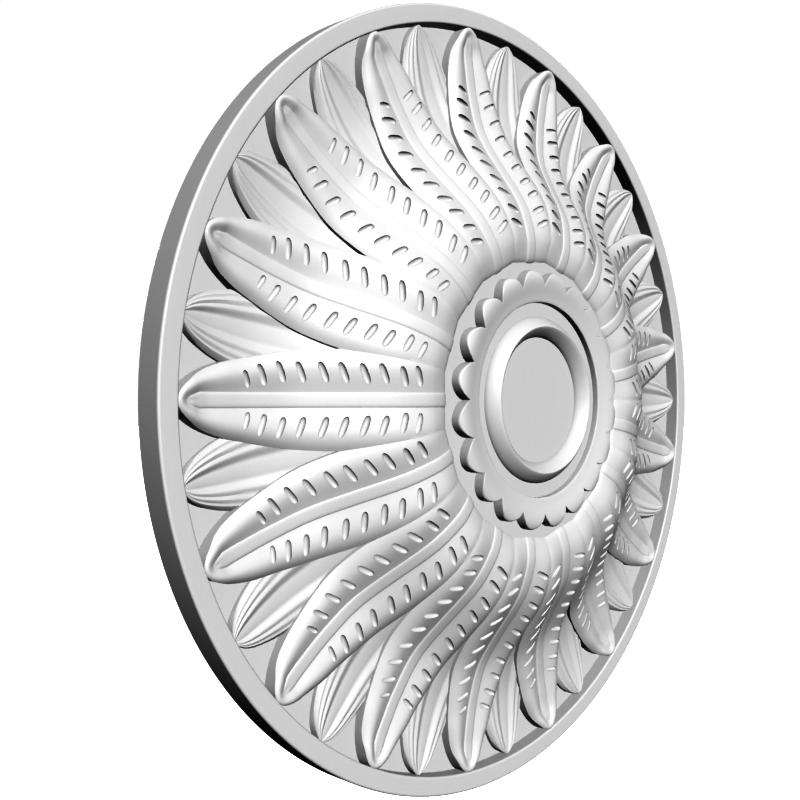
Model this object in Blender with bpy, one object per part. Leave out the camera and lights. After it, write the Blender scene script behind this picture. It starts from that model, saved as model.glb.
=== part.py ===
# A round rosette carved from one wooden blank. Its flat back lies on the plane y = 0 and is what
# it is fixed by, the carved face looks towards -Y, and +Z is up. All sizes are in metres.

import math

import bmesh
import bpy

# The blank: a disc with a flat raised rim round a sunk field.
DISC_RADIUS = 0.150
RIM_TOP = 0.0111            # height of the rim's flat top over the back
RIM_INNER_RADIUS = 0.1428
RIM_ROUNDING = 0.0009
FIELD_DEPTH = 0.0060        # the field lies this far under the rim's top
DISC_SEGMENTS = 68

# From here on heights are measured from the rim's top, and distances from the disc's axis.
ROOT_DEPTH = 0.0075         # every leaf begins this far under the rim's top, inside the disc

# The large leaves. Near the axis each is wider than its share of the round and runs into the next.
LEAF_COUNT = 17
LEAF_TIP = 0.1431
LEAF_WIDTHS = ((0.050, 0.0140), (0.054, 0.0147), (0.060, 0.0151), (0.069, 0.0157), (0.078, 0.0164),
               (0.090, 0.0166), (0.099, 0.0161), (0.108, 0.0150), (0.119, 0.0130), (0.125, 0.0119),
               (0.131, 0.0101), (0.136, 0.0078), (0.140, 0.0049), (0.142, 0.0030), (LEAF_TIP, 0.0))
LEAF_STATIONS = (0.0500, 0.0530, 0.0600, 0.0685, 0.0780, 0.0890, 0.0985, 0.1080,
                 0.1220, 0.1330, 0.1390, 0.1419, LEAF_TIP)
GROOVE_LINE = ((0.050, 0.0188), (0.053, 0.0225), (0.056, 0.0232), (0.060, 0.0235), (0.066, 0.0225),
               (0.072, 0.0207), (0.078, 0.0176), (0.084, 0.0136), (0.090, 0.0096), (0.096, 0.0058),
               (0.102, 0.0027), (0.108, 0.0009), (0.114, -0.0002), (0.120, -0.0011),
               (0.132, -0.0018), (0.138, -0.0010), (LEAF_TIP, -0.0006))
CREST_OVER_GROOVE = ((0.050, 0.0), (0.054, 0.0002), (0.060, 0.0008), (0.069, 0.0013),
                     (0.081, 0.0016), (0.105, 0.0016), (0.131, 0.0014), (LEAF_TIP, 0.0019))
EDGE_UNDER_CREST = ((0.050, 0.0021), (0.131, 0.0021), (0.135, 0.0018), (LEAF_TIP, 0.0009))
RIB_HALF_WIDTH = 0.0025
RIB_WIDEST_SHARE = 0.34     # of the half width, where the leaf narrows to its tip
RIB_OVER_GROOVE = 0.0004
RIB_FADE_WIDTH = 0.006      # where the leaf is narrower than this, the rib sinks into the groove
CREST_SHARE = 0.635         # the crest's place, as a share of the half width
SHOULDER_SHARE = 0.86
SHOULDER_FALL = 0.36        # of the fall from crest to edge

# Round a large leaf's tip its lines run on as nested bows, the inner ones ending short of the outer.
BOW_FROM = 0.1200
BOW_LENGTH = 0.0055

# The small leaves between them.
SMALL_TIP = 0.1426
SMALL_WIDTHS = ((0.087, 0.0142), (0.100, 0.0141), (0.108, 0.0139), (0.115, 0.0135), (0.1225, 0.0122),
                (0.1285, 0.0107), (0.1335, 0.0088), (0.138, 0.0064), (0.141, 0.0036), (SMALL_TIP, 0.0))
SMALL_STATIONS = (0.0870, 0.1040, 0.1200, 0.1320, 0.1395, SMALL_TIP)
CHANNEL_LINE = ((0.087, 0.0099), (0.094, 0.0057), (0.099, 0.0029), (0.105, 0.0002), (0.111, -0.0016),
                (0.117, -0.0028), (0.123, -0.0033), (0.129, -0.0034), (SMALL_TIP, -0.0026))
SMALL_FADE_LENGTH = 0.009   # over this length its ridges run together at the tip
SMALL_PROFILE = ((0.0, 0.0), (0.24, -0.0001), (0.45, 0.0008), (0.72, 0.0007), (0.86, 0.0001),
                 (1.0, -0.0015))

# The raised middle: a ring of floor, and inside the collar a sunk ring.
FLOOR_RISE = 0.02175
CORE_RADIUS = 0.0560
CORE_SEGMENTS = 44
STEP_RADIUS = 0.0390        # under the collar the floor steps up to the sunk ring
RECESS_RISE = 0.0222

# The scalloped collar.
SCALLOP_COUNT = 20
SCALLOP_STEPS = 4
SCALLOP_FULLNESS = 0.72     # under 1, a scallop is fuller than a sine wave
COLLAR_TIP_RADIUS = 0.0489
COLLAR_NOTCH_RADIUS = 0.0424
COLLAR_CROWN_RADIUS = 0.0454
COLLAR_MIDDLE_RADIUS = 0.0412
COLLAR_INNER_RADIUS = 0.0365
COLLAR_EDGE_STEP = 0.0006   # the crown stays this far inside the edge at a notch
COLLAR_ROOT = 0.01775
COLLAR_SECTION = ((0.0365, 0.02455), (0.0395, 0.02500), (0.0435, 0.02585), (0.0454, 0.02600),
                  (0.0473, 0.02565), (0.0489, 0.02480))

# The bead in the sunk ring, its section a pointed arch: places aside from the crest as shares of
# its half width, and heights as shares of its own.
BEAD_CREST_RADIUS = 0.0274
BEAD_HALF_WIDTH = 0.00386
BEAD_HEIGHT = 0.0047
BEAD_ROOT = 0.0202
BEAD_SECTION = ((1.0, 0.0), (0.85, 0.30), (0.40, 0.727), (0.0, 1.0), (-0.40, 0.727), (-0.85, 0.30),
                (-1.0, 0.0))
BEAD_SEGMENTS = 48

PAINT_COLOUR = (0.60, 0.60, 0.59, 1.0)
SHARP_ANGLE = math.radians(32)
SAME_POINT = 1e-7


def clear_scene():
    for thing in list(bpy.data.objects):
        bpy.data.objects.remove(thing)


def primed_wood():
    material = bpy.data.materials.new("primed_wood")
    material.use_nodes = True
    shader = material.node_tree.nodes["Principled BSDF"]
    shader.inputs["Base Color"].default_value = PAINT_COLOUR
    shader.inputs["Roughness"].default_value = 0.5
    shader.inputs["Metallic"].default_value = 0.0
    return material


def smooth_curve(knots, x):
    """Height at x of a curve through the knots that never overshoots them."""
    if x <= knots[0][0]:
        return knots[0][1]
    if x >= knots[-1][0]:
        return knots[-1][1]
    slopes = [(b[1] - a[1]) / (b[0] - a[0]) for a, b in zip(knots, knots[1:])]
    tangents = [slopes[0]]
    for before, after in zip(slopes, slopes[1:]):
        tangents.append(0.0 if before * after <= 0 else 2 * before * after / (before + after))
    tangents.append(slopes[-1])
    i = max(n for n in range(len(slopes)) if knots[n][0] <= x)
    span = knots[i + 1][0] - knots[i][0]
    t = (x - knots[i][0]) / span
    rise = (2 * t**3 - 3 * t**2 + 1) * knots[i][1] + (3 * t**2 - 2 * t**3) * knots[i + 1][1]
    lean = (t**3 - 2 * t**2 + t) * tangents[i] + (t**3 - t**2) * tangents[i + 1]
    return rise + lean * span


def place(along, aside, rise, angle=0.0):
    """A point of the carving: along a leaf's centre line, aside from it, and over the rim's top."""
    x = along * math.cos(angle) - aside * math.sin(angle)
    z = along * math.sin(angle) + aside * math.cos(angle)
    return (x, -(RIM_TOP + rise), z)


def bridge_rings(form, ring, following):
    """A closed band of triangles between two rings of as many points."""
    count = len(ring)
    for i in range(count):
        j = (i + 1) % count
        add_cell(form, ring[i], ring[j], following[j], following[i])


def add_cell(form, a, b, c, d):
    """Two triangles over four corners, or one where two corners are the same point."""
    corners = []
    for corner in (a, b, c, d):
        if all((corner.co - other.co).length > SAME_POINT for other in corners):
            corners.append(corner)
    if len(corners) == 4:
        form.faces.new((a, b, d))
        form.faces.new((b, c, d))
    elif len(corners) == 3:
        form.faces.new(corners)


def finish_form(form, name, material, collection):
    """The finished form as an object, its faces out, smooth but for its sharp edges."""
    bmesh.ops.recalc_face_normals(form, faces=form.faces)
    mesh = bpy.data.meshes.new(name)
    form.to_mesh(mesh)
    form.free()
    mesh.shade_smooth()
    mesh.set_sharp_from_angle(angle=SHARP_ANGLE)
    mesh.materials.append(material)
    thing = bpy.data.objects.new(name, mesh)
    collection.objects.link(thing)
    return thing


def turned_form(profile, segments, start, name, material, collection):
    """A closed form turned from a profile of radius and rise, its two ends capped flat."""
    form = bmesh.new()
    angles = [(i + start) * 2 * math.pi / segments for i in range(segments)]
    rings = [[form.verts.new(place(radius, 0.0, rise, a)) for a in angles] for radius, rise in profile]
    for ring, following in zip(rings, rings[1:]):
        bridge_rings(form, ring, following)
    form.faces.new(rings[0])
    form.faces.new(rings[-1])
    return finish_form(form, name, material, collection)


def turned_blank(material, collection):
    """The disc with its rim and sunk field."""
    profile = (
        (DISC_RADIUS, -RIM_TOP),
        (DISC_RADIUS, -RIM_ROUNDING),
        (DISC_RADIUS - RIM_ROUNDING, 0.0),
        (RIM_INNER_RADIUS, 0.0),
        (RIM_INNER_RADIUS, -FIELD_DEPTH),
    )
    return turned_form(profile, DISC_SEGMENTS, 0.0, "rosette", material, collection)


def turned_core(material, collection):
    """The raised middle of the disc, with the low step that the collar hides."""
    profile = (
        (CORE_RADIUS, -ROOT_DEPTH),
        (CORE_RADIUS, FLOOR_RISE),
        (STEP_RADIUS, FLOOR_RISE),
        (STEP_RADIUS, RECESS_RISE),
    )
    return turned_form(profile, CORE_SEGMENTS, 0.5, "core", material, collection)


def half_leaf_form(rows):
    """Half of a leaf: a grid of points on its face, walls down to its root, open on its middle plane."""
    root = -(RIM_TOP - ROOT_DEPTH)
    form = bmesh.new()
    grid = [[form.verts.new(point) for point in row] for row in rows]
    edge = [row[-1] for row in grid]
    under = [form.verts.new((v.co.x, root, v.co.z)) for v in edge]
    heel = form.verts.new((grid[0][0].co.x, root, 0.0))
    for row, following in zip(grid, grid[1:]):
        for j in range(len(row) - 1):
            add_cell(form, row[j], row[j + 1], following[j + 1], following[j])
    for i in range(len(edge) - 1):
        add_cell(form, edge[i], under[i], under[i + 1], edge[i + 1])
    form.faces.new(grid[0] + [under[0], heel])
    form.faces.new([heel] + under)
    return form


def mirrored_leaf(form, name, material, collection):
    """The whole leaf, closed by mirroring its half in its own middle plane."""
    bmesh.ops.remove_doubles(form, verts=form.verts, dist=SAME_POINT)
    half = form.verts[:] + form.edges[:] + form.faces[:]
    bmesh.ops.mirror(form, geom=half, axis="Z", merge_dist=SAME_POINT)
    bmesh.ops.remove_doubles(form, verts=form.verts, dist=SAME_POINT)
    return finish_form(form, name, material, collection)


def large_leaf_row(station):
    """Points across half of a large leaf: rib, groove, crest, shoulder and edge."""
    half = smooth_curve(LEAF_WIDTHS, station)
    bow = max(0.0, (station - BOW_FROM) / (LEAF_TIP - BOW_FROM))
    rib = RIB_WIDEST_SHARE if half * RIB_WIDEST_SHARE < RIB_HALF_WIDTH else RIB_HALF_WIDTH / half
    rib_rise = RIB_OVER_GROOVE * min(1.0, half / RIB_FADE_WIDTH)
    fall = smooth_curve(EDGE_UNDER_CREST, station)
    row = []
    for share, over_groove, crest_part, fall_part in (
            (0.0, rib_rise, 0.0, 0.0),
            (rib, 0.0, 0.0, 0.0),
            (CREST_SHARE, 0.0, 1.0, 0.0),
            (SHOULDER_SHARE, 0.0, 1.0, SHOULDER_FALL),
            (1.0, 0.0, 1.0, 1.0)):
        along = station - BOW_LENGTH * bow**2 * (1 - share)
        rise = smooth_curve(GROOVE_LINE, along) + over_groove
        rise += crest_part * smooth_curve(CREST_OVER_GROOVE, along) - fall_part * fall
        row.append(place(along, share * half, rise))
    return row


def large_leaf(material, collection):
    form = half_leaf_form([large_leaf_row(station) for station in LEAF_STATIONS])
    return mirrored_leaf(form, "large_leaf", material, collection)


def small_leaf_row(station):
    """Points across half of a small leaf: a channel, two ridges and a slope down to the edge."""
    half = smooth_curve(SMALL_WIDTHS, station)
    fade = min(1.0, (SMALL_TIP - station) / SMALL_FADE_LENGTH)
    channel = smooth_curve(CHANNEL_LINE, station)
    return [place(station, share * half, channel + rise * fade) for share, rise in SMALL_PROFILE]


def small_leaf(material, collection):
    form = half_leaf_form([small_leaf_row(station) for station in SMALL_STATIONS])
    return mirrored_leaf(form, "small_leaf", material, collection)


def scalloped_collar(material, collection):
    """A ring whose outer edge is cut into rounded scallops with pointed notches."""
    count = SCALLOP_COUNT * SCALLOP_STEPS
    form = bmesh.new()
    columns = []
    for i in range(count):
        swell = math.sin(math.pi * (i % SCALLOP_STEPS) / SCALLOP_STEPS) ** SCALLOP_FULLNESS
        edge = COLLAR_NOTCH_RADIUS + (COLLAR_TIP_RADIUS - COLLAR_NOTCH_RADIUS) * swell
        crown = min(COLLAR_CROWN_RADIUS, edge - COLLAR_EDGE_STEP)
        radii = (edge, crown, COLLAR_MIDDLE_RADIUS, COLLAR_INNER_RADIUS)
        section = [(radius, smooth_curve(COLLAR_SECTION, radius)) for radius in radii]
        section = [(edge, COLLAR_ROOT)] + section + [(COLLAR_INNER_RADIUS, COLLAR_ROOT)]
        angle = i * 2 * math.pi / count
        columns.append([form.verts.new(place(radius, 0.0, rise, angle)) for radius, rise in section])
    loops = list(zip(*columns))
    for loop, following in zip(loops, loops[1:] + loops[:1]):
        bridge_rings(form, loop, following)
    return finish_form(form, "collar", material, collection)


def bead_ring(material, collection):
    """A ring whose section is a pointed arch on a short root."""
    section = [(BEAD_CREST_RADIUS + BEAD_HALF_WIDTH, BEAD_ROOT)]
    for aside, height in BEAD_SECTION:
        section.append((BEAD_CREST_RADIUS + aside * BEAD_HALF_WIDTH, RECESS_RISE + height * BEAD_HEIGHT))
    section.append((BEAD_CREST_RADIUS - BEAD_HALF_WIDTH, BEAD_ROOT))
    form = bmesh.new()
    angles = [i * 2 * math.pi / BEAD_SEGMENTS for i in range(BEAD_SEGMENTS)]
    loops = [[form.verts.new(place(radius, 0.0, rise, a)) for a in angles] for radius, rise in section]
    for loop, following in zip(loops, loops[1:] + loops[:1]):
        bridge_rings(form, loop, following)
    return finish_form(form, "bead", material, collection)


def repeat_round(first, count, start, collection):
    """The first form and its copies, turned about the disc's axis in equal steps from a start angle."""
    first.rotation_euler = (0.0, -start, 0.0)
    for i in range(1, count):
        copy = first.copy()
        copy.rotation_euler = (0.0, -(start + i * 2 * math.pi / count), 0.0)
        collection.objects.link(copy)


def make_rosette():
    """The blank, joined with every raised form in one union."""
    clear_scene()
    scene = bpy.context.scene
    material = primed_wood()
    forms = bpy.data.collections.new("carved_forms")
    scene.collection.children.link(forms)
    repeat_round(large_leaf(material, forms), LEAF_COUNT, math.pi, forms)
    repeat_round(small_leaf(material, forms), LEAF_COUNT, math.pi + math.pi / LEAF_COUNT, forms)
    turned_core(material, forms)
    scalloped_collar(material, forms)
    bead_ring(material, forms)
    for thing in forms.objects:
        thing.hide_render = True
        thing.display_type = "WIRE"
    rosette = turned_blank(material, scene.collection)
    union = rosette.modifiers.new("carved_forms", "BOOLEAN")
    union.operation = "UNION"
    union.solver = "EXACT"
    union.operand_type = "COLLECTION"
    union.collection = forms


make_rosette()
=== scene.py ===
import math

import bpy
import numpy as np
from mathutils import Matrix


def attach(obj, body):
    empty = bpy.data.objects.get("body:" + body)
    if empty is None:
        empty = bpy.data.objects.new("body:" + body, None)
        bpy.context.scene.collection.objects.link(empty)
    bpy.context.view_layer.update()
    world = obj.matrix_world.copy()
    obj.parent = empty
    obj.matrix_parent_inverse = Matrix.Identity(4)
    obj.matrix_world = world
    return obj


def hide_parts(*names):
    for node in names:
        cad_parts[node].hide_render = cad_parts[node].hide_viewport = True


# A round rosette carved from one wooden blank, primed and painted in a pale satin grey.
# Its flat back lies on y = 0, the carved face looks towards -Y, +Z is up, all in metres.
# Heights of the carving count from the rim's flat top, and distances from the disc's axis.

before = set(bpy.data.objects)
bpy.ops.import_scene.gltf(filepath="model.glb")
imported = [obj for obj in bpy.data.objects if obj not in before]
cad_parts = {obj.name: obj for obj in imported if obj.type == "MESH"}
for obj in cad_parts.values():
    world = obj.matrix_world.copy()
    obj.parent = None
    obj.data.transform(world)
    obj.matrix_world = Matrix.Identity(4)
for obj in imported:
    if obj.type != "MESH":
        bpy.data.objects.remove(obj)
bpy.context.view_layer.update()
rimTop = 0.0111  # height of the rim's flat top over the back
samePoint = 1e-6


def startFresh():
    if bpy.context.mode != "OBJECT":
        bpy.ops.object.mode_set(mode="OBJECT")
    bpy.ops.object.select_all(action="DESELECT")


def makeActive(thing):
    startFresh()
    thing.select_set(True)
    bpy.context.view_layer.objects.active = thing


def editFaces(thing, test):
    # edit mode with only the faces that pass the test selected
    makeActive(thing)
    bpy.ops.object.mode_set(mode="EDIT")
    bpy.ops.mesh.select_mode(type="FACE")
    bpy.ops.mesh.select_all(action="DESELECT")
    bpy.ops.object.mode_set(mode="OBJECT")
    for face in thing.data.polygons:
        face.select = bool(test(face))
    bpy.ops.object.mode_set(mode="EDIT")


def editEdges(thing, test):
    # edit mode with only the edges whose two ends pass the test selected
    makeActive(thing)
    bpy.ops.object.mode_set(mode="EDIT")
    bpy.ops.mesh.select_mode(type="EDGE")
    bpy.ops.mesh.select_all(action="DESELECT")
    bpy.ops.object.mode_set(mode="OBJECT")
    points = thing.data.vertices
    for edge in thing.data.edges:
        edge.select = bool(test(points[edge.vertices[0]].co, points[edge.vertices[1]].co))
    bpy.ops.object.mode_set(mode="EDIT")


def applyModifiers(thing):
    makeActive(thing)
    for modifier in list(thing.modifiers):
        bpy.ops.object.modifier_apply(modifier=modifier.name)


def applyPlace(thing):
    makeActive(thing)
    bpy.ops.object.transform_apply(location=True, rotation=True, scale=True)


def copyOf(thing, name):
    copy = thing.copy()
    copy.data = thing.data.copy()
    copy.name = name
    bpy.context.scene.collection.objects.link(copy)
    return copy


def triangles(thing):
    return sum(len(face.vertices) - 2 for face in thing.data.polygons)


def readPoints(thing):
    points = np.empty(len(thing.data.vertices) * 3)
    thing.data.vertices.foreach_get("co", points)
    return points.reshape(-1, 3)


def writePoints(thing, points):
    thing.data.vertices.foreach_set("co", np.ascontiguousarray(points, dtype=float).ravel())
    thing.data.update()


def smoothCurve(knots, x):
    # a curve through the knots that never overshoots them, at every x of an array
    xs = np.array([knot[0] for knot in knots])
    ys = np.array([knot[1] for knot in knots])
    slopes = np.diff(ys) / np.diff(xs)
    tangents = np.empty(len(xs))
    tangents[0], tangents[-1] = slopes[0], slopes[-1]
    product = slopes[:-1] * slopes[1:]
    total = np.where(slopes[:-1] + slopes[1:] == 0, 1.0, slopes[:-1] + slopes[1:])
    tangents[1:-1] = np.where(product > 0, 2 * product / total, 0.0)
    x = np.clip(x, xs[0], xs[-1])
    i = np.clip(np.searchsorted(xs, x, side="right") - 1, 0, len(slopes) - 1)
    span = xs[i + 1] - xs[i]
    t = (x - xs[i]) / span
    rise = (2 * t**3 - 3 * t**2 + 1) * ys[i] + (3 * t**2 - 2 * t**3) * ys[i + 1]
    lean = (t**3 - 2 * t**2 + t) * tangents[i] + (t**3 - t**2) * tangents[i + 1]
    return rise + lean * span


def closeDownTo(thing, depth, isRing=False):
    # the open sheet, or a ring of it, gets walls down to a flat underside at this y
    makeActive(thing)
    bpy.ops.object.mode_set(mode="EDIT")
    bpy.ops.mesh.select_mode(type="VERT")
    bpy.ops.mesh.select_all(action="SELECT")
    bpy.ops.mesh.remove_doubles(threshold=samePoint)
    bpy.ops.mesh.select_all(action="DESELECT")
    bpy.ops.mesh.select_non_manifold()
    bpy.ops.mesh.extrude_region_move(TRANSFORM_OT_translate={"value": (0, 0, 0)})
    bpy.ops.transform.resize(value=(1, 0, 1), center_override=(0, depth, 0))
    if isRing:
        bpy.ops.mesh.bridge_edge_loops()
    else:
        bpy.ops.mesh.edge_face_add()
    bpy.ops.mesh.select_all(action="SELECT")
    bpy.ops.mesh.normals_make_consistent(inside=False)
    bpy.ops.object.mode_set(mode="OBJECT")


blank = {
    "radius": 0.150,
    "segments": 272,
    "frontRounding": 0.0009,
    "backRounding": 0.0004,
    "innerRounding": 0.0008,
    "rimInner": 0.1428,
    "fieldDepth": 0.0060,
    "coreRadius": 0.0560,
    "floorRise": 0.02175,
    "stepRadius": 0.0390,
    "recessRise": 0.0222,
}


def turnBlank():
    startFresh()
    bpy.ops.mesh.primitive_circle_add(
        vertices=blank["segments"], radius=blank["radius"], fill_type="NGON",
        location=(0, 0, 0), rotation=(math.pi / 2, 0, 0))
    disc = bpy.context.object
    disc.name = "carvedRosette"
    applyPlace(disc)
    editFaces(disc, lambda face: True)
    bpy.ops.mesh.extrude_region_move(TRANSFORM_OT_translate={"value": (0, -rimTop, 0)})
    for inner, rise in (("rimInner", -blank["fieldDepth"]), ("coreRadius", blank["floorRise"]),
                        ("stepRadius", blank["recessRise"])):
        insetFrontTo(disc, blank[inner])
        bpy.ops.mesh.extrude_region_move(TRANSFORM_OT_translate={"value": (0, 0, 0)})
        moveFrontTo(disc, rise)
    for rounding, steps, y, radius in (("frontRounding", 5, -rimTop, blank["radius"]),
                                       ("innerRounding", 4, -rimTop, blank["rimInner"]),
                                       ("backRounding", 3, 0.0, blank["radius"])):
        editEdges(disc, lambda a, b: onCircle(a, b, y, radius))
        bpy.ops.mesh.bevel(offset=blank[rounding], segments=steps, profile=0.5)
    bpy.ops.mesh.select_all(action="SELECT")
    bpy.ops.mesh.normals_make_consistent(inside=False)
    bpy.ops.object.mode_set(mode="OBJECT")
    return disc


def onCircle(a, b, y, radius):
    # both ends on the circle of this radius at this y
    near = 1e-5
    return all(abs(p.y - y) < near and abs(math.hypot(p.x, p.z) - radius) < near for p in (a, b))


def insetFrontTo(disc, radius):
    # the selected round face shrinks to this radius, leaving a ring round it
    bpy.ops.mesh.extrude_region_move(TRANSFORM_OT_translate={"value": (0, 0, 0)})
    bpy.ops.object.mode_set(mode="OBJECT")
    front = [face for face in disc.data.polygons if face.select]
    points = [disc.data.vertices[i].co for face in front for i in face.vertices]
    now = max(math.hypot(p.x, p.z) for p in points)
    bpy.ops.object.mode_set(mode="EDIT")
    share = radius / now
    bpy.ops.transform.resize(value=(share, 1, share), center_override=(0, 0, 0))


def moveFrontTo(disc, rise):
    # the selected round face goes to this height over the rim's top
    bpy.ops.object.mode_set(mode="OBJECT")
    y = next(disc.data.vertices[face.vertices[0]].co.y for face in disc.data.polygons if face.select)
    bpy.ops.object.mode_set(mode="EDIT")
    bpy.ops.transform.translate(value=(0, -(rimTop + rise) - y, 0))


largeLeaf = {
    "count": 17,
    "tip": 0.1431,
    "root": 0.0030,
    # half its width, at distances from the axis; joined leaves run into each other
    "widths": ((0.050, 0.0140), (0.054, 0.0147), (0.060, 0.0151), (0.069, 0.0157), (0.078, 0.0164),
               (0.090, 0.0166), (0.099, 0.0161), (0.108, 0.0150), (0.119, 0.0130), (0.125, 0.0119),
               (0.131, 0.0101), (0.136, 0.0078), (0.1385, 0.0061), (0.140, 0.0050), (0.1415, 0.0036),
               (0.1425, 0.0022), (0.1431, 0.0)),
    # height of the two grooves beside the rib
    "grooveLine": ((0.050, 0.0188), (0.0508, 0.0209), (0.0522, 0.0222), (0.054, 0.0228), (0.057, 0.0233),
                   (0.060, 0.0235), (0.063, 0.0231), (0.066, 0.0225), (0.072, 0.0207), (0.078, 0.0176),
                   (0.084, 0.0136), (0.090, 0.0096), (0.096, 0.0058), (0.099, 0.0041), (0.102, 0.0027),
                   (0.105, 0.0017), (0.108, 0.0009), (0.114, -0.0002), (0.120, -0.0011), (0.126, -0.0015),
                   (0.132, -0.0018), (0.135, -0.0016), (0.138, -0.0010), (0.1431, -0.0006)),
    # how far the crest of each blade stands over the groove
    "crestOver": ((0.050, 0.0), (0.054, 0.0002), (0.057, 0.0005), (0.060, 0.0008), (0.063, 0.0010),
                  (0.069, 0.0013), (0.075, 0.0014), (0.081, 0.0016), (0.105, 0.0016), (0.117, 0.0015),
                  (0.131, 0.0013), (0.137, 0.0010), (0.1431, 0.0007)),
    # the crest's place across the leaf, and how far out it moves where the leaf narrows to its tip
    "crestShare": 0.635,
    "crestShareTip": 0.80,
    "narrowFrom": 0.0105,
    "narrowTo": 0.0020,
    # rib and blades are full where the leaf is at least so wide, and gone where it is thin
    "fullHalf": 0.0070,
    "thinHalf": 0.0015,
    # how far the edge lies under the crest
    "edgeFall": ((0.050, 0.0021), (0.131, 0.0021), (0.135, 0.0018), (0.1385, 0.0011),
                 (0.1431, 0.0006)),
    "edgeCurve": 2.1,
    # the blade between groove and crest
    "bladeShape": ((0.0, 0.0), (0.1, 0.10), (0.2, 0.23), (0.3, 0.37), (0.4, 0.505), (0.5, 0.63),
                   (0.6, 0.745), (0.7, 0.845), (0.8, 0.925), (0.9, 0.98), (1.0, 1.0)),
    "ribHalf": 0.0025,
    "ribWidestShare": 0.34,
    "ribOver": 0.00040,
    "ribDoming": 0.12,
    "ribSideCurve": 6,
    # the inner end rounds back at its two corners
    "heelFrom": 0.056,
    "heelLength": 0.006,
    "heelRound": 0.0022,
    # round the tip the crest and the trough inside it run on as nested bows
    "bowFrom": 0.1200,
    "bowLength": 0.0055,
    # lines across rib, blade and edge, as shares of each
    "ribLines": (0.0, 0.45, 0.72, 0.87, 1.0),
    "bladeLines": (0.08, 0.22, 0.40, 0.58, 0.74, 0.88, 1.0),
    "edgeLines": (0.16, 0.33, 0.50, 0.67, 0.84, 1.0),
    "rows": 44,
    # share of the rows against the root of the distance from the tip
    "rowPlaces": ((0.0, 0.30512), (0.07, 0.3027), (0.16, 0.2955), (0.55, 0.1715), (1.0, 0.0)),
}


def largeHalfWidth(along):
    # read off against the root of the distance from the tip, which keeps the tip round
    tip = largeLeaf["tip"]
    knots = [(math.sqrt(tip - place), half) for place, half in reversed(largeLeaf["widths"])]
    return smoothCurve(knots, np.sqrt(np.clip(tip - along, 0, None)))


def fullness(half):
    # 1 over most of the leaf, and 0 where it has narrowed to its tip
    thin = largeLeaf["thinHalf"]
    return np.clip((half - thin) / (largeLeaf["fullHalf"] - thin), 0, 1)


def crestShare(half):
    # where across the leaf each crest runs
    start, end = largeLeaf["narrowFrom"], largeLeaf["narrowTo"]
    wide = np.clip((half - end) / (start - end), 0, 1)
    atTip = largeLeaf["crestShareTip"]
    return atTip + (largeLeaf["crestShare"] - atTip) * wide


def ribShare(half):
    # how much of the leaf's width the rib takes
    return np.minimum(largeLeaf["ribHalf"] / np.maximum(half, 1e-6), largeLeaf["ribWidestShare"])


def largeRise(station, along, half, aside):
    # height of the leaf's face: rib, groove, blade, crest and the edge that falls away beyond it
    groove = smoothCurve(largeLeaf["grooveLine"], along)
    crest = groove + smoothCurve(largeLeaf["crestOver"], along)
    full = fullness(half)
    rib = ribShare(half) * half
    x = np.clip(aside / np.maximum(rib, 1e-6), 0, 1)
    dome = (1 - largeLeaf["ribDoming"] * x**2) * (1 - x ** largeLeaf["ribSideCurve"])
    onRib = groove + largeLeaf["ribOver"] * full * dome
    crestAt = crestShare(half) * half
    y = np.clip((aside - rib) / np.maximum(crestAt - rib, 1e-6), 0, 1)
    shape = full * smoothCurve(largeLeaf["bladeShape"], y) + (1 - full) * (3 * y**2 - 2 * y**3)
    onBlade = groove + (crest - groove) * shape
    z = np.clip((aside - crestAt) / np.maximum(half - crestAt, 1e-6), 0, 1)
    onEdge = crest - smoothCurve(largeLeaf["edgeFall"], station) * z ** largeLeaf["edgeCurve"]
    return np.where(aside <= rib, onRib, np.where(aside <= crestAt, onBlade, onEdge))


def largeShares(half):
    # places across half of the leaf, as shares of its width: rib, blade, then the edge rolling over
    rib = ribShare(half)[:, None]
    crest = crestShare(half)[:, None]
    onRib = rib * largeLeaf["ribLines"]
    onBlade = rib + (crest - rib) * largeLeaf["bladeLines"]
    onEdge = crest + (1 - crest) * largeLeaf["edgeLines"]
    return np.hstack([onRib, onBlade, onEdge])


def carveLargeLeaf():
    # a grid drawn into the leaf's face, then closed below; it points to +X
    lines = sum(len(largeLeaf[part]) for part in ("ribLines", "bladeLines", "edgeLines")) - 1
    startFresh()
    bpy.ops.mesh.primitive_grid_add(
        x_subdivisions=largeLeaf["rows"], y_subdivisions=2 * lines, size=2)
    leaf = bpy.context.object
    leaf.name = "largeLeaf"
    points = readPoints(leaf)
    t = (points[:, 0] + 1) / 2
    line = np.rint(np.abs(points[:, 1]) * lines).astype(int)
    tip = largeLeaf["tip"]
    station = tip - smoothCurve(largeLeaf["rowPlaces"], t) ** 2
    # the last row has no width left but still a section, which runs along the middle line
    half = np.maximum(largeHalfWidth(station), 1e-5)
    share = largeShares(half)[np.arange(len(half)), line]
    bow = np.clip((station - largeLeaf["bowFrom"]) / (tip - largeLeaf["bowFrom"]), 0, 1)
    heel = np.clip((largeLeaf["heelFrom"] - station) / largeLeaf["heelLength"], 0, 1)
    along = station - largeLeaf["bowLength"] * bow**2 * (1 - share)
    along += largeLeaf["heelRound"] * heel * share**3
    points[:, 2] = np.sign(points[:, 1]) * share * np.where(t > 1 - 1e-6, 0, half)
    points[:, 0] = along
    points[:, 1] = -(rimTop + largeRise(station, along, half, share * half))
    writePoints(leaf, points)
    closeDownTo(leaf, -largeLeaf["root"])
    return leaf


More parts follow.
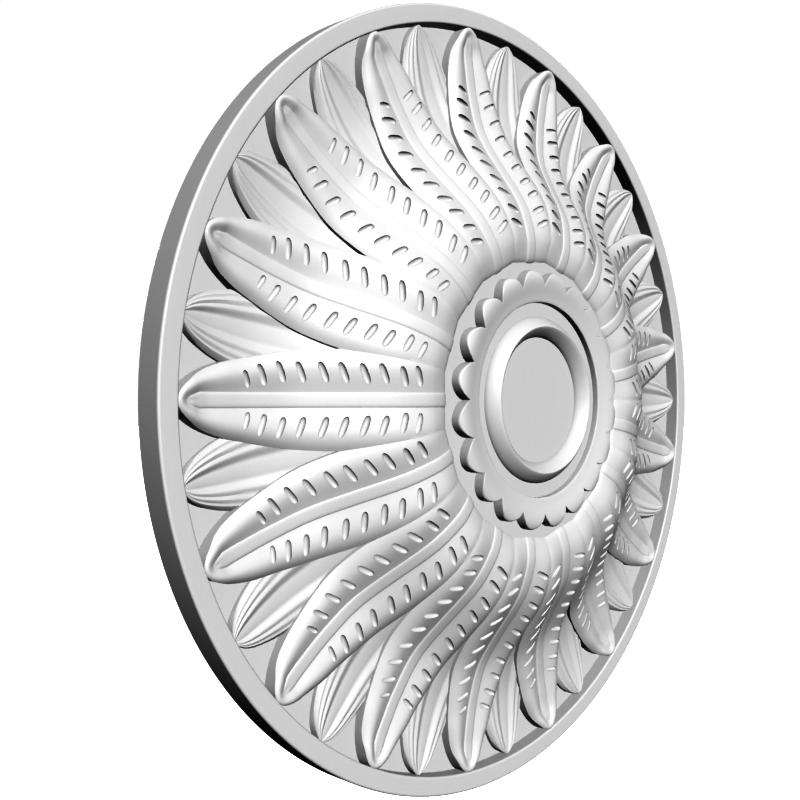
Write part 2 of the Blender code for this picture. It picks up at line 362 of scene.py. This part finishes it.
gougeCuts = {
    "radius": 0.00122,
    "endRadius": 0.00100,
    "length": 0.0072,
    "outerLength": 0.0058,
    # distance of each cut's middle from the axis and from the leaf's middle, in shares of the radius
    "places": ((0.7913, 0.0432), (0.7557, 0.0523), (0.7133, 0.0590), (0.6711, 0.0589),
               (0.6280, 0.0591), (0.5912, 0.0585), (0.5524, 0.0564), (0.5171, 0.0567),
               (0.4749, 0.0505), (0.4387, 0.0521)),
    "outerCuts": 1,
    "innerCuts": 2,
    "lean": 21.0,
    "innerLean": 19.0,
    "fullness": 3.2,
    "segments": 14,
    "rings": 12,
}


def largeRiseAt(along, aside):
    # height of the leaf's face at one place
    along = np.array([along])
    aside = np.array([abs(aside)])
    return float(largeRise(along, along, largeHalfWidth(along), aside)[0])


def gougeCutter():
    # every cut of one leaf, joined into one cutter
    cutters = []
    firstInner = len(gougeCuts["places"]) - gougeCuts["innerCuts"]
    for number, (along, aside) in enumerate(gougeCuts["places"]):
        along *= blank["radius"]
        aside *= blank["radius"]
        outer = number < gougeCuts["outerCuts"]
        lean = math.radians(gougeCuts["innerLean" if number >= firstInner else "lean"])
        radius = gougeCuts["endRadius"] if outer else gougeCuts["radius"]
        reach = gougeCuts["outerLength" if outer else "length"] / 2
        for side in (1, -1):
            ends = []
            for way in (-1, 1):
                u = along + way * reach * math.sin(lean)
                w = aside + way * reach * math.cos(lean)
                ends.append((u, -(rimTop + largeRiseAt(u, w)), side * w))
            cutters.append(gougeForm(ends[0], ends[1], radius))
    startFresh()
    for cutter in cutters:
        cutter.select_set(True)
    bpy.context.view_layer.objects.active = cutters[0]
    bpy.ops.object.join()
    return cutters[0]


def gougeForm(start, end, radius):
    # a ball drawn out between two points, fuller than an ellipsoid towards its ends
    startFresh()
    bpy.ops.mesh.primitive_uv_sphere_add(
        segments=gougeCuts["segments"], ring_count=gougeCuts["rings"], radius=1, location=(0, 0, 0))
    form = bpy.context.object
    a, b = np.array(start), np.array(end)
    length = np.linalg.norm(b - a)
    ahead = (b - a) / length
    side = np.cross(ahead, (0, 1, 0))
    side /= np.linalg.norm(side)
    up = np.cross(side, ahead)
    points = readPoints(form)
    reach = np.clip(np.abs(points[:, 2:]), 0, 1)
    swell = np.sqrt(1 - reach ** gougeCuts["fullness"]) / np.sqrt(np.maximum(1 - reach**2, 1e-9))
    across = points[:, :2] * radius * swell
    along = points[:, 2:] * ahead * length / 2
    points = (a + b) / 2 + across[:, :1] * up + across[:, 1:] * side + along
    writePoints(form, points)
    makeActive(form)
    bpy.ops.object.mode_set(mode="EDIT")
    bpy.ops.mesh.select_all(action="SELECT")
    bpy.ops.mesh.normals_make_consistent(inside=False)
    bpy.ops.object.mode_set(mode="OBJECT")
    return form


smallLeaf = {
    "tip": 0.1428,
    "root": 0.0030,
    "widths": ((0.088, 0.0142), (0.100, 0.0141), (0.108, 0.0139), (0.115, 0.0135), (0.1225, 0.0122),
               (0.1285, 0.0107), (0.1335, 0.0088), (0.138, 0.0064), (0.1403, 0.0044), (0.1418, 0.0024),
               (0.1428, 0)),
    # height of the channel along its middle
    "line": ((0.088, 0.0093), (0.094, 0.0057), (0.099, 0.0029), (0.105, 0.0002), (0.111, -0.0016),
             (0.117, -0.0028), (0.123, -0.0033), (0.129, -0.0034), (0.1335, -0.0033), (0.1365, -0.0031),
             (0.1428, -0.0026)),
    # share of the half width against rise over the channel: three ridges, then a slope to the edge
    "profile": ((0, 0), (0.08, -0.00001), (0.14, -0.00005), (0.19, -0.00012), (0.23, -0.00012),
                (0.27, 0.00003), (0.32, 0.00030), (0.37, 0.00060), (0.42, 0.00082), (0.46, 0.00086),
                (0.51, 0.00066), (0.56, 0.00046), (0.61, 0.00060), (0.67, 0.00080), (0.72, 0.00066),
                (0.77, 0.00034), (0.81, 0.00034), (0.86, 0.00036), (0.93, -0.00024), (1.0, -0.00120)),
    "bowFrom": 0.125,
    "bowLength": 0.0008,
    # the ridges are full where the leaf is wider than this, and shrink with it towards the tip
    "fullHalf": 0.0085,
    "rows": 24,
    "rowPlaces": ((0.0, 0.2341), (0.45, 0.1580), (1.0, 0.0)),
}


def smallHalfWidth(along):
    tip = smallLeaf["tip"]
    knots = [(math.sqrt(tip - place), half) for place, half in reversed(smallLeaf["widths"])]
    return smoothCurve(knots, np.sqrt(np.clip(tip - along, 0, None)))


def carveSmallLeaf():
    # made as the large leaf is, with one profile along its whole length
    profile = smallLeaf["profile"]
    lines = len(profile) - 1
    startFresh()
    bpy.ops.mesh.primitive_grid_add(
        x_subdivisions=smallLeaf["rows"], y_subdivisions=2 * lines, size=2)
    leaf = bpy.context.object
    leaf.name = "smallLeaf"
    points = readPoints(leaf)
    t = (points[:, 0] + 1) / 2
    line = np.rint(np.abs(points[:, 1]) * lines).astype(int)
    share = np.take([p[0] for p in profile], line)
    over = np.take([p[1] for p in profile], line)
    station = smallLeaf["tip"] - smoothCurve(smallLeaf["rowPlaces"], t) ** 2
    half = smallHalfWidth(station)
    bow = np.clip((station - smallLeaf["bowFrom"]) / (smallLeaf["tip"] - smallLeaf["bowFrom"]), 0, 1)
    along = station - smallLeaf["bowLength"] * bow**2 * (1 - share)
    rise = smoothCurve(smallLeaf["line"], along) + over * np.clip(half / smallLeaf["fullHalf"], 0, 1)
    points[:, 2] = np.sign(points[:, 1]) * share * half
    points[:, 0] = along
    points[:, 1] = -(rimTop + rise)
    writePoints(leaf, points)
    closeDownTo(leaf, -smallLeaf["root"])
    return leaf


collar = {
    "scallops": 20,
    "tip": 0.0486,
    "notch": 0.0428,
    "inner": 0.0365,
    "fullness": 0.72,  # under 1, a scallop is fuller than a sine wave
    "root": 0.0280,
    # distance from the axis against height
    "section": ((0.0365, 0.02455), (0.0395, 0.02500), (0.0435, 0.02585), (0.0454, 0.02600),
                (0.0473, 0.02565), (0.0489, 0.02480)),
    "arris": 0.0005,
    "columns": 16,  # to a scallop
    # circles between the inner edge and the scallops' edge
    "shares": (0, 0.015, 0.05, 0.12, 0.25, 0.40, 0.55, 0.68, 0.78, 0.86, 0.92, 0.96, 0.985, 1.0),
}


def carveCollar():
    # a grid bent round into a ring, its outer edge swelling into scallops
    shares = collar["shares"]
    startFresh()
    bpy.ops.mesh.primitive_grid_add(
        x_subdivisions=collar["columns"] * collar["scallops"], y_subdivisions=len(shares) - 1, size=2)
    ring = bpy.context.object
    ring.name = "collar"
    points = readPoints(ring)
    angle = (points[:, 0] + 1) * math.pi
    share = np.take(shares, np.rint((points[:, 1] + 1) / 2 * (len(shares) - 1)).astype(int))
    turn = angle / (2 * math.pi) * collar["scallops"]
    swell = np.abs(np.sin(math.pi * turn)) ** collar["fullness"]
    edge = collar["notch"] + (collar["tip"] - collar["notch"]) * swell
    radius = collar["inner"] + (edge - collar["inner"]) * share
    rise = smoothCurve(collar["section"], radius)
    arris = collar["arris"]
    for left in (edge - radius, radius - collar["inner"]):
        over = np.clip(arris - left, 0, None)
        rise -= arris - np.sqrt(np.clip(arris**2 - over**2, 0, None))
    points[:, 0] = radius * np.cos(angle)
    points[:, 2] = radius * np.sin(angle)
    points[:, 1] = -(rimTop + rise)
    writePoints(ring, points)
    closeDownTo(ring, -collar["root"], isRing=True)
    return ring


bead = {
    "crest": 0.0274,
    "half": 0.00386,
    "height": 0.0047,
    "root": 0.0205,
    "keen": 0.60,  # 0 is a half round and 1 a plain roof
    "crestRounding": 0.07,
    "sideCrowding": 1.15,
    "segments": 144,
    "steps": 20,
}


def spinBead():
    # its section is a pointed arch with a softened crest and sides that end nearly upright
    startFresh()
    bpy.ops.mesh.primitive_circle_add(
        vertices=2 * bead["steps"], radius=1, fill_type="NOTHING", location=(0, 0, 0))
    ring = bpy.context.object
    ring.name = "bead"
    points = readPoints(ring)
    turn = np.arctan2(points[:, 0], points[:, 1])
    upper = np.abs(turn) <= math.pi / 2 + 1e-6
    quarter = (np.abs(turn) / (math.pi / 2)) ** bead["sideCrowding"]
    aside = np.where(upper, np.sign(turn) * quarter, points[:, 0])
    aside = np.where(upper, np.sin(aside * math.pi / 2), aside)
    soft = bead["crestRounding"]
    slope = np.sqrt(aside**2 + soft**2) - soft
    fall = bead["keen"] * slope / (math.sqrt(1 + soft**2) - soft) + (1 - bead["keen"]) * (
        1 - np.sqrt(np.clip(1 - aside**2, 0, None)))
    rise = np.where(upper, blank["recessRise"] + bead["height"] * (1 - fall),
                    blank["recessRise"] + points[:, 1] * (blank["recessRise"] - bead["root"]))
    points[:, 0] = bead["crest"] + aside * bead["half"]
    points[:, 1] = -(rimTop + rise)
    points[:, 2] = 0
    writePoints(ring, points)
    makeActive(ring)
    bpy.ops.object.mode_set(mode="EDIT")
    bpy.ops.mesh.select_all(action="SELECT")
    bpy.ops.mesh.spin(steps=bead["segments"], angle=2 * math.pi, center=(0, 0, 0), axis=(0, 1, 0))
    bpy.ops.mesh.select_all(action="SELECT")
    bpy.ops.mesh.remove_doubles(threshold=samePoint)
    bpy.ops.mesh.normals_make_consistent(inside=False)
    bpy.ops.object.mode_set(mode="OBJECT")
    return ring


def turned(first, count, start, names):
    # copies of the first form round the disc's axis
    forms = []
    for i in range(count):
        copy = copyOf(first, f"{names}{i}")
        copy.rotation_euler = (0, -(start + i * 2 * math.pi / count), 0)
        applyPlace(copy)
        forms.append(copy)
    bpy.data.objects.remove(first)
    return forms


def joinInto(body, forms):
    # one union of the body with every form, after which the forms go
    gathered = bpy.data.collections.new("carvedForms")
    bpy.context.scene.collection.children.link(gathered)
    for form in forms:
        gathered.objects.link(form)
    union = body.modifiers.new("union", "BOOLEAN")
    union.operation = "UNION"
    union.solver = "MANIFOLD"
    union.operand_type = "COLLECTION"
    union.collection = gathered
    applyModifiers(body)
    # the union leaves slivers where two surfaces nearly touch
    editFaces(body, lambda face: True)
    bpy.ops.mesh.dissolve_degenerate(threshold=samePoint)
    bpy.ops.object.mode_set(mode="OBJECT")
    for form in forms:
        bpy.data.objects.remove(form)
    bpy.data.collections.remove(gathered)


rosette = turnBlank()
print("blank", triangles(rosette), "triangles")

leaf = carveLargeLeaf()
cutter = gougeCutter()
cut = leaf.modifiers.new("gouge", "BOOLEAN")
cut.operation = "DIFFERENCE"
cut.solver = "MANIFOLD"
cut.object = cutter
applyModifiers(leaf)
bpy.data.objects.remove(cutter)
print("large leaf", triangles(leaf), "triangles")

small = carveSmallLeaf()
print("small leaf", triangles(small), "triangles")
ring = carveCollar()
print("collar", triangles(ring), "triangles")
beadRing = spinBead()
print("bead", triangles(beadRing), "triangles")

shading = {
    "smoothUnder": 30.0,  # degrees between faces
    "evenWeight": 60,
}

# the first large leaf points to -X
step = 2 * math.pi / largeLeaf["count"]
forms = turned(small, largeLeaf["count"], math.pi + step / 2, "smallLeaf")
forms += turned(leaf, largeLeaf["count"], math.pi, "largeLeaf")
joinInto(rosette, forms + [ring, beadRing])
makeActive(rosette)
bpy.ops.object.shade_smooth_by_angle(angle=math.radians(shading["smoothUnder"]))
even = rosette.modifiers.new("even", "WEIGHTED_NORMAL")
even.keep_sharp = True
even.weight = shading["evenWeight"]
applyModifiers(rosette)
print("rosette", triangles(rosette), "triangles")


def colour(code):
    # an sRGB hex code as linear light, opaque
    values = [int(code[i:i + 2], 16) / 255 for i in (1, 3, 5)]
    return [v / 12.92 if v <= 0.04045 else ((v + 0.055) / 1.055) ** 2.4 for v in values] + [1.0]


def addNode(tree, kind, settings=None, links=None):
    # settings go to sockets by name or else to the node's own properties
    node = tree.nodes.new(kind)
    for key, value in (settings or {}).items():
        if key in node.inputs.keys():
            node.inputs[key].default_value = value
        else:
            setattr(node, key, value)
    for key, source in (links or {}).items():
        tree.links.new(source, node.inputs[key])
    return node


paint = {
    "light": "#CDCDCD",
    "dark": "#CCCCCC",
    "roughness": 0.56,
    "gloss": 0.45,
    "grainScale": 900.0,  # fibres about 1 mm apart
    "grainStretch": 0.08,
    "reliefStrength": 0.06,
    "reliefHeight": 0.00003,
}


def satinPaint():
    # primer and satin paint, sprayed over carved hardwood: nearly even, with the grain just telling
    material = bpy.data.materials.new("primed_wood")
    material.use_nodes = True
    tree = material.node_tree
    shader = tree.nodes["Principled BSDF"]
    place = addNode(tree, "ShaderNodeTexCoord")
    stretch = addNode(tree, "ShaderNodeMapping", {"Scale": (1.0, 1.0, paint["grainStretch"])},
                      {"Vector": place.outputs["Object"]})
    grain = addNode(tree, "ShaderNodeTexNoise", {"Scale": paint["grainScale"], "Detail": 3.0},
                    {"Vector": stretch.outputs["Vector"]})
    tone = addNode(tree, "ShaderNodeMapRange",
                   {"From Min": 0.3, "From Max": 0.7, "To Min": 0.0, "To Max": 1.0},
                   {"Value": grain.outputs["Fac"]})
    mix = addNode(tree, "ShaderNodeMix", {"data_type": "RGBA"})
    # sockets 6 and 7 are its two colours
    mix.inputs[6].default_value = colour(paint["dark"])
    mix.inputs[7].default_value = colour(paint["light"])
    tree.links.new(tone.outputs["Result"], mix.inputs[0])
    tree.links.new(mix.outputs[2], shader.inputs["Base Color"])
    bump = addNode(tree, "ShaderNodeBump",
                   {"Strength": paint["reliefStrength"], "Distance": paint["reliefHeight"]},
                   {"Height": grain.outputs["Fac"]})
    tree.links.new(bump.outputs["Normal"], shader.inputs["Normal"])
    shader.inputs["Roughness"].default_value = paint["roughness"]
    shader.inputs["IOR"].default_value = 1.5
    shader.inputs["Specular IOR Level"].default_value = paint["gloss"]
    return material


rosette.data.materials.clear()
rosette.data.materials.append(satinPaint())
# its own faces throw no light on one another, which keeps the relief crisp
rosette.visible_diffuse = False
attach(rosette, "root")
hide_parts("rosette")


studio = {
    "floorDrop": 0.45,
    "floorSize": 30.0,
    "floorGlow": 1.0,
    "fill": 0.01,
    "backdrop": 1.05,
    "cameraPlace": (-0.3088, -0.2658, 0.0),
    "cameraTurn": (90.0, 0.0, -45.316),
    "lens": 45.82,
    "sensor": 36.0,
    "gamma": 0.4545,
    "sunFrom": (-0.42, -0.80, 0.43),
    "sunStrength": 5.25,
    "backFrom": (0.40, 0.90, 0.17),
    "backStrength": 3.0,
    "spread": 5.0,
}

startFresh()
bpy.ops.mesh.primitive_plane_add(size=studio["floorSize"], location=(0, 0, -studio["floorDrop"]))
floor = bpy.context.object
floor.name = "floor"
# matt white studio paper
paper = bpy.data.materials.new("white_paper")
paper.use_nodes = True
sheet = paper.node_tree.nodes["Principled BSDF"]
sheet.inputs["Base Color"].default_value = colour("#F4F4F4")
sheet.inputs["Roughness"].default_value = 0.9
sheet.inputs["Emission Color"].default_value = colour("#FFFFFF")
sheet.inputs["Emission Strength"].default_value = studio["floorGlow"]
floor.data.materials.append(paper)
# the bright floor throws no light up at the carving
floor.visible_diffuse = False
floor.visible_glossy = False

world = bpy.data.worlds.new("studio")
bpy.context.scene.world = world
world.use_nodes = True
sky = world.node_tree
back = sky.nodes["Background"]
back.inputs["Color"].default_value = colour("#FFFFFF")
back.inputs["Strength"].default_value = studio["fill"]
white = addNode(sky, "ShaderNodeBackground",
                {"Color": colour("#FFFFFF"), "Strength": studio["backdrop"]})
path = addNode(sky, "ShaderNodeLightPath")
choose = addNode(sky, "ShaderNodeMixShader")
sky.links.new(path.outputs["Is Camera Ray"], choose.inputs[0])
sky.links.new(back.outputs[0], choose.inputs[1])
sky.links.new(white.outputs[0], choose.inputs[2])
sky.links.new(choose.outputs[0], sky.nodes["World Output"].inputs["Surface"])


def addSun(name, comesFrom, strength):
    bpy.ops.object.light_add(type="SUN", location=comesFrom)
    sun = bpy.context.object
    sun.name = name
    sun.data.energy = strength
    sun.data.angle = math.radians(studio["spread"])
    x, y, z = comesFrom
    sun.rotation_euler = (math.atan2(math.hypot(x, y), z), 0, math.atan2(x, -y))
    return sun


# the front light casts no shadows, so that every hollow stays readable
front = addSun("frontLight", studio["sunFrom"], studio["sunStrength"])
front.data.use_shadow = False
# the back light only reaches the edge and the flat back
addSun("backLight", studio["backFrom"], studio["backStrength"])

bpy.ops.object.camera_add(location=studio["cameraPlace"],
                          rotation=[math.radians(a) for a in studio["cameraTurn"]])
camera = bpy.context.object
camera.data.lens = studio["lens"]
camera.data.sensor_width = studio["sensor"]
bpy.context.scene.camera = camera
view = bpy.context.scene.view_settings
view.view_transform = "Standard"
view.gamma = studio["gamma"]
